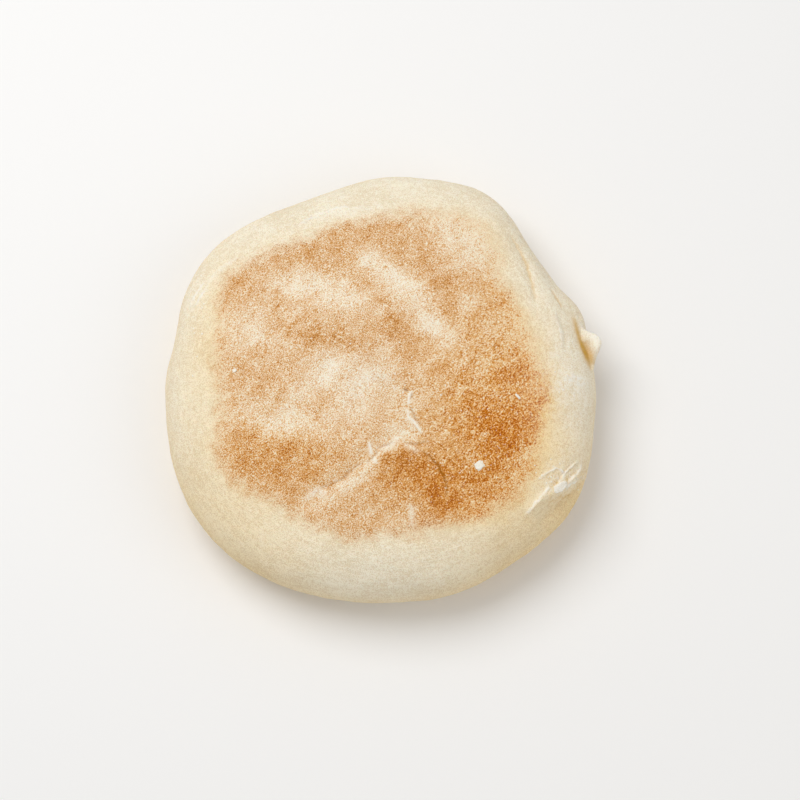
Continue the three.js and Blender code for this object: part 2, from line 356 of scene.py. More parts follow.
# Where loose flour stayed on the skin.
FLOUR_PATCHES = {
    "near_right": dict(at=(60, -34), length=20, width=9, turned=42, much=0.6),
    "right_wall": dict(at=(63, -3), length=20, width=34, turned=6, much=0.5),
    "right_smear": dict(at=(66.5, 2), length=9, width=3, turned=-4, much=0.7),
    "right_second_smear": dict(at=(63, -1.5), length=7, width=2.4, turned=8, much=0.5),
    # the ear's patch whitens the flap, partly as a painted highlight on it
    "ear": dict(at=(74, 19), length=5, width=10, turned=12, much=0.8),
    "left_wall": dict(at=(-64, 36), length=20, width=9, turned=60, much=0.35),
    "far_rim": dict(at=(-12, 62), length=26, width=5, turned=4, much=0.4),
    "middle_left": dict(at=(-18, 3), length=16, width=12, turned=45, much=0.2),
    "middle_streak": dict(at=(-4, -1), length=26, width=12, turned=60, much=0.25),
    "right_streak": dict(at=(18, 18), length=18, width=8, turned=-40, much=0.25),
}

# The wall's grain is drawn out round the bread: the smaller the first, the longer its streaks.
RIM_STRETCH = 14
RIM_CLIMB = 20

# ---- colours, as they show on the bread ----
WALL_BRIGHT = (254, 246, 225)
WALL_DULL = (233, 217, 187)
# the golden tone, also used as painted warm shade on the walls
GOLD_AND_WARM_SHADE = (252, 228, 178)
# amber: the colour of the painted shade in the folds
AMBER_SHADE = (210, 162, 56)
RIDGE_PALE_AND_HIGHLIGHT = (254, 248, 233)
CREASE_SHADE_BROWN = (156, 92, 8)
FLOUR_WHITE = (252, 248, 238)
FLOUR_CREAM = (238, 228, 206)
# pale specks: partly small blisters of the crust, partly painted glints of light
BLISTER_AND_GLINT = (253, 243, 220)
TOAST_COLOURS = [  # how much toast, and its colour
    (0.00, (253, 245, 226)),
    (0.15, (249, 234, 207)),
    (0.30, (242, 215, 180)),
    (0.45, (233, 194, 150)),
    (0.60, (222, 169, 109)),
    (0.75, (207, 147, 76)),
    (0.88, (191, 126, 52)),
    (1.00, (168, 100, 30)),
]
CRISP_COLOURS = [  # the same, where it is crisp
    (0.00, (253, 245, 226)),
    (0.15, (250, 235, 203)),
    (0.30, (244, 217, 172)),
    (0.45, (238, 196, 136)),
    (0.60, (229, 165, 76)),
    (0.75, (216, 134, 20)),
    (0.88, (197, 105, 2)),
    (1.00, (170, 80, 1)),
]


def seen(red, green, blue):
    """The linear colour of one given as it shows on a screen."""
    return tuple(
        c / 255 / 12.92 if c <= 10 else ((c / 255 + 0.055) / 1.055) ** 2.4 for c in (red, green, blue)
    ) + (1,)


# ---- places ----
def polar(radius, degrees, height):
    """A point, or a move, in metres from a radius and height in millimetres about the bread's axis."""
    turn = math.radians(degrees)
    return Vector((radius * math.cos(turn), radius * math.sin(turn), height)) * MM


def upper_height(radius):
    """The level of the blank's upper surface at a radius."""
    if radius <= FACE_RADIUS:
        return FACE_EDGE + CROWN * (1 - (radius / FACE_RADIUS) ** 2)
    share = min((radius - FACE_RADIUS) / (RADIUS - FACE_RADIUS), 1)
    return BELLY_HEIGHT + (FACE_EDGE - BELLY_HEIGHT) * math.sqrt(1 - share * share)


# ---- modelling by hand ----
def deselect_all():
    bpy.ops.object.select_all(action="DESELECT")


def apply_modifier(piece, modifier):
    deselect_all()
    piece.select_set(True)
    bpy.context.view_layer.objects.active = piece
    bpy.ops.object.modifier_apply(modifier=modifier.name)


def select_in_edit(piece, kind, wanted):
    """Selects the vertices, edges or faces that wanted picks. The piece is in edit mode."""
    bpy.ops.mesh.select_mode(type=kind)
    bpy.ops.mesh.select_all(action="DESELECT")
    cage = bmesh.from_edit_mesh(piece.data)
    for element in {"VERT": cage.verts, "EDGE": cage.edges, "FACE": cage.faces}[kind]:
        if wanted(element):
            element.select_set(True)
    cage.select_flush_mode()
    bmesh.update_edit_mesh(piece.data)


def grab(piece, anchor, move, reach):
    """Pulls the vertex nearest to anchor, with its neighbours out to reach following less and less."""
    cage = bmesh.from_edit_mesh(piece.data)
    nearest = min(cage.verts, key=lambda v: (v.co - anchor).length_squared).index
    select_in_edit(piece, "VERT", lambda v: v.index == nearest)
    bpy.ops.transform.translate(
        value=move,
        use_proportional_edit=True,
        proportional_edit_falloff="SMOOTH",
        proportional_size=reach,
    )


def round_blank():
    """A cylinder with both rims bevelled until they meet, flattened, and its top domed by insets."""
    deselect_all()
    rise, fall = RADIUS - FACE_RADIUS, RADIUS - BASE_RADIUS
    depth = rise + fall
    bpy.ops.mesh.primitive_cylinder_add(
        vertices=BLANK_SIDES,
        radius=RADIUS * MM,
        depth=depth * MM,
        end_fill_type="NGON",
        location=AXIS + Vector((0, 0, depth / 2 * MM)),
    )
    blank = bpy.context.object
    bpy.ops.object.transform_apply(location=True, rotation=True, scale=True)
    bpy.ops.object.mode_set(mode="EDIT")
    for level, offset in ((depth, rise), (0, fall)):
        select_in_edit(blank, "EDGE", lambda e: all(abs(v.co.z - level * MM) < MM / 10 for v in e.verts))
        bpy.ops.mesh.bevel(offset=(offset - 0.05) * MM, segments=WALL_STEPS, profile=0.5, affect="EDGES")
    bpy.ops.mesh.select_all(action="SELECT")
    bpy.ops.transform.resize(value=(1, 1, FACE_EDGE / depth), center_override=(0, 0, 0))
    select_in_edit(blank, "FACE", lambda f: f.calc_center_median().z > (FACE_EDGE - 0.1) * MM)
    step = FACE_RADIUS / CROWN_RINGS
    for ring in range(1, CROWN_RINGS):
        raised = upper_height(FACE_RADIUS - ring * step) - upper_height(FACE_RADIUS - (ring - 1) * step)
        bpy.ops.mesh.inset(thickness=step * MM, depth=raised * MM)
    bpy.ops.object.mode_set(mode="OBJECT")
    smoothing = blank.modifiers.new("round off", "SUBSURF")
    smoothing.levels = smoothing.render_levels = 1
    apply_modifier(blank, smoothing)
    return blank


def pull_wall(blank):
    bpy.ops.object.mode_set(mode="EDIT")
    for pull in WALL_PULLS.values():
        anchor = AXIS + polar(RADIUS, pull["angle"], pull["height"])
        grab(blank, anchor, polar(pull["outward"], pull["angle"], 0), pull["reach"] * MM)
    bpy.ops.object.mode_set(mode="OBJECT")


def ear_leaf():
    """A ball of dough pressed to a leaf, with its tip drawn out, a notch beside it and a pocket."""
    deselect_all()
    bpy.ops.mesh.primitive_uv_sphere_add(
        segments=64,
        ring_count=40,
        radius=MM,
        location=AXIS + Vector(EAR_MIDDLE) * MM,
        rotation=(0, math.radians(EAR_TILT), math.radians(EAR_TURN)),
        scale=EAR_SIZE,
    )
    leaf = bpy.context.object
    bpy.ops.object.transform_apply(location=True, rotation=True, scale=True)
    bpy.ops.object.mode_set(mode="EDIT")
    for pull in EAR_PULLS.values():
        grab(leaf, AXIS + Vector(pull["at"]) * MM, Vector(pull["move"]) * MM, pull["reach"] * MM)
    bpy.ops.object.mode_set(mode="OBJECT")
    bpy.ops.object.shade_smooth()
    return leaf


def even_skin(blank):
    """The blank's faces are laid anew, all of one size, so that small strokes take everywhere."""
    remesh = blank.modifiers.new("even skin", "REMESH")
    remesh.mode = "VOXEL"
    remesh.voxel_size = SKIN_GRAIN * MM
    remesh.use_smooth_shade = True
    apply_modifier(blank, remesh)
    soften = blank.modifiers.new("soften", "SMOOTH")
    soften.factor = 0.5
    soften.iterations = SKIN_SMOOTHING
    apply_modifier(blank, soften)


def cut_finer(skin, wanted):
    """Cuts the faces whose corners are all wanted into small ones, and smooths them."""
    deselect_all()
    skin.select_set(True)
    bpy.context.view_layer.objects.active = skin
    bpy.ops.object.mode_set(mode="EDIT")
    select_in_edit(skin, "FACE", lambda f: all(wanted[v.index] for v in f.verts))
    bpy.ops.mesh.subdivide(number_cuts=FINE_CUTS)
    bpy.ops.mesh.select_more()
    bpy.ops.mesh.vertices_smooth(factor=0.5, repeat=FINE_SMOOTHING)
    bpy.ops.object.mode_set(mode="OBJECT")


def join_ear(skin, leaf):
    union = skin.modifiers.new("ear", "BOOLEAN")
    union.operation = "UNION"
    union.solver = "EXACT"
    union.object = leaf
    apply_modifier(skin, union)
    bpy.data.objects.remove(leaf)


# ---- strokes over the skin ----
def points_of(piece):
    """The skin's vertices in millimetres about the bread's axis."""
    flat = np.empty(len(piece.data.vertices) * 3)
    piece.data.vertices.foreach_get("co", flat)
    return (flat.reshape(-1, 3) - np.array(AXIS)) / MM


def rising(values, start, over):
    """0 up to start, rising evenly to 1 over the stretch after it."""
    return np.clip((values - start) / over, 0, 1)


def oval(points, at, length, width, turned, **_):
    """1 at the middle of a soft oval on the upper face, falling smoothly away."""
    turn = math.radians(turned)
    x, y = points[:, 0] - at[0], points[:, 1] - at[1]
    along = (x * math.cos(turn) + y * math.sin(turn)) / (length / 2)
    across = (y * math.cos(turn) - x * math.sin(turn)) / (width / 2)
    return np.exp(-(along**2 + across**2))


def wandering(points, across, by):
    """The points, each moved about by a smooth noise of this breadth."""
    moves = [noise.noise_vector(tuple(p / across)) for p in points]
    return points + np.array(moves) * by


def smooth_curve(path):
    """Points on a smooth curve in plan through the path's own points."""
    knots = np.array([path[0], *path, path[-1]], float)
    curve = []
    for k in range(1, len(knots) - 2):
        a, b, c, d = knots[k - 1 : k + 3]
        for s in np.linspace(0, 1, CURVE_STEPS // (len(path) - 1), endpoint=False):
            square, cube = (2 * a - 5 * b + 4 * c - d) * s**2, (3 * b - a - 3 * c + d) * s**3
            curve.append(0.5 * (2 * b + (c - a) * s + square + cube))
    curve.append(knots[-1])
    return np.array(curve)


def beside(points, curve, margin):
    """Whether each point lies, in plan, in the box round the curve with this margin."""
    flat = points[:, :2]
    return np.all((flat > curve.min(0) - margin) & (flat < curve.max(0) + margin), axis=1)


def gaps_to(points, curve):
    """The distance in plan of each point from each point of the curve."""
    return np.linalg.norm(points[:, None, :2] - curve[None], axis=2)


def above(points):
    """1 on the upper face and shoulder, falling to 0 where the wall is steep."""
    return rising(points[:, 2], STROKES_ABOVE, STROKES_OVER)


def along(points, path, width, snug=False, **_):
    """1 over a curve on the upper face or wall, falling away across it and running out at its ends.

    The distance across it is taken in plan, or over the skin itself where the stroke is snug.
    """
    curve = smooth_curve(path)
    close = (points[:, 2] > STROKES_ABOVE) & beside(points, curve, STROKE_TAIL * width)
    share = np.zeros(len(points))
    gaps = gaps_to(points[close], curve)
    if snug:
        climb = points[close, 2][:, None]
        lie = climb[(gaps - climb / SNUG_CLIMB).argmin(axis=0), 0]
        gaps = np.hypot(gaps, climb - lie)
    taper = np.sin(np.pi * (gaps.argmin(axis=1) + 0.5) / len(curve)) ** 0.5
    share[close] = taper * np.exp(-((gaps.min(axis=1) / width) ** 2))
    return share * above(points)


def along_all(points, paths, width):
    """1 over any of the curves."""
    return np.max([along(points, path, width, snug=True) for path in paths.values()], axis=0)


def folded(points, folds):
    return sum(along(points, **fold) * fold["depth"] for fold in folds.values())


def near_paths(points, paths, reach):
    """Whether each point lies within reach, in plan, of one of the paths' curves."""
    near = np.zeros(len(points), bool)
    for path in paths:
        curve = smooth_curve(path)
        levels = [upper_height(math.hypot(*spot)) for spot in curve]
        close = beside(points, curve, reach) & (points[:, 2] > min(levels) - LEVEL_SLACK)
        close = np.flatnonzero(close & (points[:, 2] < max(levels) + LEVEL_SLACK))
        near[close[gaps_to(points[close], curve).min(axis=1) < reach]] = True
    return near


def displaced(piece, name, depths, direction="NORMAL"):
    """A stroke that moves each vertex by its own depth, painted as a share of the deepest."""
    deepest = float(depths.max())
    group = piece.vertex_groups.new(name=name)
    for index in np.flatnonzero(depths > deepest * FAINTEST):
        group.add([int(index)], float(depths[index] / deepest), "REPLACE")
    stroke = piece.modifiers.new(name, "DISPLACE")
    stroke.vertex_group = name
    stroke.mid_level = 0
    stroke.direction = direction
    stroke.strength = deepest * MM
    return stroke


def press(piece, name, depths, direction="NORMAL"):
    stroke = displaced(piece, name, depths, direction)
    stroke.strength *= -1
    apply_modifier(piece, stroke)


def raise_up(piece, name, depths):
    apply_modifier(piece, displaced(piece, name, depths))


def roughen(piece, name, across, height):
    """Cloudy swellings all over, fading out towards the flat underside."""
    clouds = bpy.data.textures.new(name, "CLOUDS")
    clouds.noise_scale = across * MM
    clouds.noise_depth = 1
    stroke = displaced(piece, name, rising(points_of(piece)[:, 2], UNEVEN_ABOVE, UNEVEN_OVER))
    stroke.texture = clouds
    stroke.texture_coords = "LOCAL"
    stroke.mid_level = 0.5
    stroke.strength = height * MM
    apply_modifier(piece, stroke)


# ---- painting the skin ----
def paint(piece, name, shares):
    layer = piece.data.attributes.new(name, "FLOAT", "POINT")
    layer.data.foreach_set("value", np.clip(shares, 0, 1))


def toast_reach(points):
    """How far each point lies inside the toasted area's edge."""
    x, y = points[:, 0] - TOAST_CENTRE[0], points[:, 1] - TOAST_CENTRE[1]
    turns = np.degrees(np.arctan2(y, x))
    edge = np.full(len(points), float(TOAST_RADIUS))
    for lobe in TOAST_EDGE.values():
        away = (turns - lobe["angle"] + 180) % 360 - 180
        edge += lobe["outward"] * np.exp(-((away / lobe["spread"]) ** 2))
    return edge - np.hypot(x, y)


def patched(points, patches):
    return sum(oval(points, **patch) * patch["much"] for patch in patches.values())


def shared(distance):
    """How far inside an edge a point lies, from 0 to 1, with 0.5 at the edge."""
    return np.clip(0.5 + distance / TOAST_SOFTNESS / 2, 0, 1)


def band(reach, at, width):
    """1 in the middle of a band along the toasted area's edge, falling away to both sides."""
    return np.exp(-(((reach - at) / width) ** 2))


def face_toast(strayed, ridged):
    level = TOAST_GROUND + patched(strayed, DARK_PATCHES) - patched(strayed, PALE_PATCHES)
    level -= folded(strayed, VALLEY_PALENESS) + along_all(ridged, FACE_RIDGES, RIDGE_WIDTH) * RIDGE_PALENESS
    return level - along_all(ridged, SOFT_RIDGES, SOFT_RIDGE_WIDTH) * SOFT_RIDGE_PALENESS


def paint_toast(crust, points, strayed, ridged):
    """Where both faces are browned, how much, how golden the skin beside it is with the painted warm shade
    of the walls, and the painted brown shade in the creases.
    """
    upper = points[:, 2] > BELLY_HEIGHT
    reach = toast_reach(strayed)
    under_reach = UNDER_RADIUS - np.hypot(strayed[:, 0], strayed[:, 1])
    paint(crust, "browned", shared(np.where(upper, reach, under_reach)))
    crisp = np.clip(patched(strayed, CRISP_PATCHES), 0, 1) * upper
    paint(crust, "crisp", crisp)
    crisp_edge = band(reach, **CRISP_BAND) * crisp
    face = face_toast(strayed, ridged) - crisp_edge * CRISP_EDGE_PALENESS
    under = UNDER_GROUND + patched(strayed, UNDER_PATCHES)
    paint(crust, "toast", np.where(upper, face, under))
    edge = band(reach, **EDGE_BAND) * upper
    foot = rising(-points[:, 2], -GOLD_AND_WARM_SHADE_FOOT["below"], GOLD_AND_WARM_SHADE_FOOT["over"]) * GOLD_AND_WARM_SHADE_FOOT["much"]
    golden = edge * GOLD_EDGE + crisp_edge * GOLD_CRISP
    paint(crust, "gold_and_warm_shade", golden + patched(points, GOLD_AND_WARM_SHADE_PATCHES) + foot)
    # painted brown shade down the furrows' beds
    crease_shade = along_all(ridged, FACE_FURROWS, CREASE_SHADE_WIDTH) * FACE_CREASE_SHADE_PAINT * (reach > 0)
    paint(crust, "crease_shade", np.maximum(crease_shade, along_all(ridged, BROWN_SHADE_FURROWS, CREASE_SHADE_WIDTH)))


def paint_marks(crust, points, strayed, ridged):
    """Loose flour, pale ridges that are partly painted highlights, the painted highlight on the ear's rim,
    and the painted warm shade in the folds and furrows.
    """
    paint(crust, "flour", patched(strayed, FLOUR_PATCHES) * above(points))
    # The ear's pale rim is a painted highlight, and the ridges' paleness is partly one.
    rim = oval(points, **EAR_RIM_HIGHLIGHT) * rising(points[:, 2], EAR_ROOT, EAR_ROOT_OVER)
    soft = along_all(ridged, SOFT_RIDGES, SOFT_RIDGE_WIDTH) * SOFT_RIDGE_PAINT
    fine = along_all(ridged, {**FACE_RIDGES, **WALL_RIDGES}, RIDGE_WIDTH)
    paint(crust, "pale_ridge_and_highlight", np.max([fine, soft, rim], axis=0))
    # painted amber shade in the furrows and in the ear's crease and pocket
    amber_shade = along_all(ridged, AMBER_SHADE_FURROWS, FURROW_WIDTH) * AMBER_SHADE_PAINT
    paint(crust, "amber_shade", amber_shade + folded(points, EAR_AMBER_SHADE))


def place_rim_grain(crust, points):
    """A place for the wall's grain, that changes slowly round the bread and quickly up its wall."""
    turns = np.arctan2(points[:, 1], points[:, 0])
    climb = np.arctan2(points[:, 2] - BELLY_HEIGHT, np.hypot(points[:, 0], points[:, 1]) - FACE_RADIUS)
    spots = np.stack([np.cos(turns) * RIM_STRETCH, np.sin(turns) * RIM_STRETCH, climb * RIM_CLIMB], 1)
    layer = crust.data.attributes.new("round_the_rim", "FLOAT_VECTOR", "POINT")
    layer.data.foreach_set("vector", (spots * MM).ravel())


def paint_crust(crust):
    points = points_of(crust)
    strayed = points
    for wander in TOAST_WANDER:
        strayed = wandering(strayed, **wander)
    ridged = wandering(points, **RIDGE_WANDER)
    paint_toast(crust, points, strayed, ridged)
    paint_marks(crust, points, strayed, ridged)
    place_rim_grain(crust, points)


# ---- the materials ----
NOISES = {  # how many to the metre, how detailed, rough and distorted
    "strands": dict(scale=3300, detail=1.5, roughness=0.5, distortion=0.2),
    "crisp_strands": dict(scale=1900, detail=3, roughness=0.6, distortion=0.6),
    "blotches": dict(scale=260, detail=5, roughness=0.6, distortion=0.5),
    "puckers_and_hollow_shade": dict(scale=330, detail=5, roughness=0.6, distortion=1.2),
    "blisters_and_glints": dict(scale=1500, detail=0),
    "mottle": dict(scale=700, detail=5, roughness=0.75),
    "wall_streaks": dict(scale=900, detail=4, roughness=0.7),
    "wall_grain": dict(scale=2800, detail=2, roughness=0.6),
    "wall_clouds": dict(scale=60, detail=3),
    "flour_crumb": dict(scale=2200, detail=3),
}
# How far each noise swings the toast, the wall's paleness, or the toast's edge.
STRAND_SWING = 2.4
CRISP_SWING = 2.0
BLOTCH_SWING = 1.1
PUCKER_SWING = 1.2
WALL_MOTTLE_SWING = 1.7
WALL_STREAK_SWING = 1.2
WALL_GRAIN_SWING = 3.2
EDGE_SWING = 1.2
STRAND_TURN = 48  # degrees, of the strands from +X
STRAND_STRETCH = 1.5
CRUST_SHADER = {
    "Roughness": 0.8,
    "Specular IOR Level": 0.12,
    "Subsurface Weight": 0.08,
    "Subsurface Radius": (1.0, 0.6, 0.3),
    "Subsurface Scale": 0.002,
}
CRUST_RELIEF = 0.5 * MM
FLOUR_SHADER = {"Roughness": 0.95}
FLOUR_RELIEF = 0.3 * MM
FLOOR_SHADER = {"Base Color": (0.93, 0.93, 0.93, 1), "Roughness": 0.9}


def new_material(name, sockets):
    """A material with these values on its shader's own sockets, and that shader and its tree."""
    material = bpy.data.materials.new(name)
    material.use_nodes = True
    shader = material.node_tree.nodes["Principled BSDF"]
    for socket, value in sockets.items():
        shader.inputs[socket].default_value = value
    return material, shader, material.node_tree


def add_node(tree, kind, inputs=(), **settings):
    node = tree.nodes.new(kind)
    for key, value in settings.items():
        setattr(node, key, value)
    for key, value in dict(inputs).items():
        if isinstance(value, bpy.types.NodeSocket):
            tree.links.new(value, node.inputs[key])
        else:
            node.inputs[key].default_value = value
    return node


def noise_of(tree, place, name):
    settings = {key.capitalize(): value for key, value in NOISES[name].items()}
    return add_node(tree, "ShaderNodeTexNoise", {"Vector": place, **settings}).outputs["Fac"]


def maths(tree, operation, first, second, clamp=False):
    return add_node(
        tree, "ShaderNodeMath", {0: first, 1: second}, operation=operation, use_clamp=clamp
    ).outputs[0]


def painted(tree, name):
    return add_node(tree, "ShaderNodeAttribute", attribute_name=name).outputs["Fac"]


def ramp(tree, share, stops):
    node = add_node(tree, "ShaderNodeValToRGB", {"Fac": share})
    elements = node.color_ramp.elements
    while len(elements) < len(stops):
        elements.new(0.5)
    for element, (position, colour) in zip(elements, stops):
        element.position = position
        element.color = seen(*colour)
    return node.outputs["Color"]


def mix(tree, share, first, second, blend="MIX"):
    node = add_node(tree, "ShaderNodeMix", data_type="RGBA", blend_type=blend)
    for key, value in ((0, share), (6, first), (7, second)):
        if isinstance(value, bpy.types.NodeSocket):
            tree.links.new(value, node.inputs[key])
        else:
            node.inputs[key].default_value = value
    return node.outputs[2]


def scaled(tree, share, by, plus=0.0, clamp=False):
    node = add_node(tree, "ShaderNodeMath", {0: share, 1: by, 2: plus}, operation="MULTIPLY_ADD")
    node.use_clamp = clamp
    return node.outputs[0]


def swung(tree, share, by):
    """A noise's swing to both sides of its middle, this far from end to end."""
    return scaled(tree, share, by, -by / 2)


def toasted_colour(tree, place, toast, crisp):
    """The griddled face: its toast, broken up by blotches and by a fine blistered grain, with pale specks
    that are partly painted glints.
    """
    # The grain runs in short strands, from near left to far right.
    turn = (0, 0, math.radians(STRAND_TURN))
    strands = add_node(
        tree,
        "ShaderNodeMapping",
        {"Vector": place, "Rotation": turn, "Scale": (STRAND_STRETCH, 1, 1)},
        vector_type="TEXTURE",
    ).outputs["Vector"]
    fine = swung(tree, noise_of(tree, strands, "strands"), STRAND_SWING)
    coarse = swung(tree, noise_of(tree, strands, "crisp_strands"), CRISP_SWING)
    blotch = noise_of(tree, strands, "blotches")
    # Where there is little toast the skin is puckered, and painted darker in the hollows between: painted
    # shade.
    pucker = swung(tree, noise_of(tree, place, "puckers_and_hollow_shade"), PUCKER_SWING)
    puckers_and_hollow_shade = maths(tree, "MULTIPLY", pucker, scaled(tree, toast, -2.4, 1.1, clamp=True))
    ragged = maths(tree, "MULTIPLY", swung(tree, blotch, BLOTCH_SWING), scaled(tree, toast, 0.8, 0.25))
    fine = maths(tree, "MULTIPLY", fine, scaled(tree, toast, -0.15, 0.94))
    grain = maths(tree, "ADD", fine, maths(tree, "MULTIPLY", coarse, crisp))
    level = maths(tree, "ADD", maths(tree, "ADD", toast, ragged), maths(tree, "SUBTRACT", grain, puckers_and_hollow_shade))
    colour = mix(tree, crisp, ramp(tree, level, TOAST_COLOURS), ramp(tree, level, CRISP_COLOURS))
    # Pale specks: partly small blisters of the crust, partly painted glints of light.
    blisters_and_glints = scaled(tree, noise_of(tree, place, "blisters_and_glints"), 14, -10.1, clamp=True)
    colour = mix(tree, scaled(tree, blisters_and_glints, 0.7), colour, seen(*BLISTER_AND_GLINT))
    relief = maths(tree, "SUBTRACT", scaled(tree, puckers_and_hollow_shade, 2.5), scaled(tree, grain, 0.4))
    return colour, grain, blotch, relief


def wall_colour(tree, place, mottle):
    """The pale wall: clouded, mottled, and drawn out in faint streaks round the bread."""
    rim = add_node(tree, "ShaderNodeAttribute", attribute_name="round_the_rim").outputs["Vector"]
    streaks, fine = noise_of(tree, rim, "wall_streaks"), noise_of(tree, place, "wall_grain")
    clouds = noise_of(tree, place, "wall_clouds")
    paleness = maths(tree, "ADD", swung(tree, mottle, WALL_MOTTLE_SWING), clouds)
    paleness = maths(tree, "ADD", paleness, swung(tree, streaks, WALL_STREAK_SWING))
    paleness = maths(tree, "ADD", paleness, swung(tree, fine, WALL_GRAIN_SWING))
    relief = maths(tree, "ADD", scaled(tree, streaks, 1.5), scaled(tree, fine, 0.5))
    return ramp(tree, paleness, [(0.15, WALL_DULL), (0.75, WALL_BRIGHT)]), relief


def marked(tree, colour, mottle):
    """The colour with the skin's golden tone and painted warm shade, the painted warm shade in the folds,
    pale ridges that are partly painted highlights, painted brown shade in the creases, and loose flour over
    it.
    """
    # golden tone over the colour: the crust's own, and painted warm shade on the walls and towards the foot
    colour = mix(tree, painted(tree, "gold_and_warm_shade"), colour, seen(*GOLD_AND_WARM_SHADE), "MULTIPLY")
    # painted amber shade in the folds
    colour = mix(tree, painted(tree, "amber_shade"), colour, seen(*AMBER_SHADE))
    # pale ridges, partly painted highlights, and the painted highlight on the ear's rim
    colour = mix(tree, scaled(tree, painted(tree, "pale_ridge_and_highlight"), 0.75), colour, seen(*RIDGE_PALE_AND_HIGHLIGHT))
    # painted brown shade in the creases
    colour = mix(tree, scaled(tree, painted(tree, "crease_shade"), 0.85), colour, seen(*CREASE_SHADE_BROWN))
    dust = maths(tree, "MAXIMUM", painted(tree, "flour"), painted(tree, "pale_ridge_and_highlight"))
    dust = maths(tree, "MULTIPLY", dust, scaled(tree, mottle, 3.5, -1.3, clamp=True))
    return mix(tree, dust, colour, seen(*FLOUR_WHITE))


def finish_shader(tree, shader, colour, height, relief):
    """The colour and a bump of this relief, in metres."""
    tree.links.new(colour, shader.inputs["Base Color"])
    bump = add_node(tree, "ShaderNodeBump", {"Height": height, "Distance": relief, "Strength": 0.5})
    tree.links.new(bump.outputs["Normal"], shader.inputs["Normal"])


def crust_material():
    material, shader, tree = new_material("griddled_crust", CRUST_SHADER)
    place = add_node(tree, "ShaderNodeTexCoord").outputs["Object"]
    mottle = noise_of(tree, place, "mottle")
    toast, crisp = painted(tree, "toast"), painted(tree, "crisp")
    toasted, grain, blotch, relief = toasted_colour(tree, place, toast, crisp)
    wall, wall_relief = wall_colour(tree, place, mottle)

    # The toast's edge is a ragged one, speckled by the grain.
    browned = scaled(tree, painted(tree, "browned"), 1.9, -0.45)
    browned = maths(tree, "ADD", browned, swung(tree, blotch, EDGE_SWING))
    browned = maths(tree, "ADD", browned, scaled(tree, grain, 0.7), clamp=True)
    colour = marked(tree, mix(tree, browned, wall, toasted), mottle)
    height = maths(tree, "ADD", maths(tree, "MULTIPLY", browned, relief), mottle)
    finish_shader(tree, shader, colour, maths(tree, "ADD", height, wall_relief), CRUST_RELIEF)
    return material


def flour_material():
    material, shader, tree = new_material("dried_flour", FLOUR_SHADER)
    place = add_node(tree, "ShaderNodeTexCoord").outputs["Object"]
    crumb = noise_of(tree, place, "flour_crumb")
    colour = ramp(tree, crumb, [(0.3, FLOUR_CREAM), (0.6, FLOUR_WHITE)])
    finish_shader(tree, shader, colour, crumb, FLOUR_RELIEF)
    return material


# ---- flour and dried dough that lie on the skin ----
FLAKES = {
    "white_flake": dict(at=(33.6, -30.3), size=(2.7, 2.5, 0.6), turned=35, seed=3),
    "white_dash": dict(at=(46.8, -6.2), size=(2.1, 0.7, 0.5), turned=-45, seed=5),
    "left_crumb": dict(at=(-49.3, 3.0), size=(1.3, 1.0, 0.6), turned=30, seed=6),
    "dried_dough": dict(at=(61.0, -36.5), size=(4.8, 2.4, 1.1), turned=30, seed=8),
}
FLAKE_CUTS = 9
FLAKE_ROUNDING = 0.45  # 0 keeps a flake's corners square, and 1 makes it a ball
FLAKE_CRUMBLE = 0.2  # how uneven a flake is, as a share of its size
FLAKE_LUMPS = 2.6  # how many lumps it has across
SPECKS = {  # loose flour: where, how far spread, how many
    "near_right": dict(at=(59, -34), spread=(7, 5), count=26),
    "right_wall": dict(at=(63, 2), spread=(5, 14), count=18),
    "face": dict(at=(10, 5), spread=(30, 30), count=34),
    "left_wall": dict(at=(-62, 20), spread=(4, 16), count=12),
}
SPECK_SIZES = (0.16, 0.34)
SPECK_STRETCH = (0.6, 1.4)
SPECK_FLATNESS = 0.6
SPECK_SEED = 11


def landing(crust, x, y):
    """Where a thing dropped at x, y comes to lie on the skin, and the skin's normal there."""
    hit, spot, normal, _ = crust.ray_cast(AXIS + Vector((x, y, 2 * FACE_EDGE)) * MM, Vector((0, 0, -1)))
    return (spot, normal) if hit else (None, None)


def lying(spot, normal):
    """The lie of a thing at the spot, its own Z along the normal and its own X as near +X as can be."""
    side = normal.cross(Vector((1, 0, 0))).normalized()
    turn = Matrix((side.cross(normal), side, normal)).transposed().to_4x4()
    return Matrix.Translation(spot) @ turn


def flake(crust, name, at, size, turned, seed):
    """A crumbly slab with worn corners, sunk a little into the skin that it dried on."""
    deselect_all()
    bpy.ops.mesh.primitive_cube_add(size=MM)
    scrap = bpy.context.object
    scrap.name = scrap.data.name = name
    bpy.ops.object.mode_set(mode="EDIT")
    bpy.ops.mesh.subdivide(number_cuts=FLAKE_CUTS)
    bpy.ops.transform.tosphere(value=FLAKE_ROUNDING)
    bpy.ops.object.mode_set(mode="OBJECT")
    for vertex in scrap.data.vertices:
        rough = noise.noise_vector(vertex.co / MM * FLAKE_LUMPS + Vector((seed, 0, 0)))
        vertex.co += rough * FLAKE_CRUMBLE * MM
    lie = lying(*landing(crust, *at)) @ Matrix.Rotation(math.radians(turned), 4, "Z")
    scrap.data.transform(lie @ Matrix.Diagonal((*size, 1)))
    bpy.ops.object.shade_smooth()
    return scrap


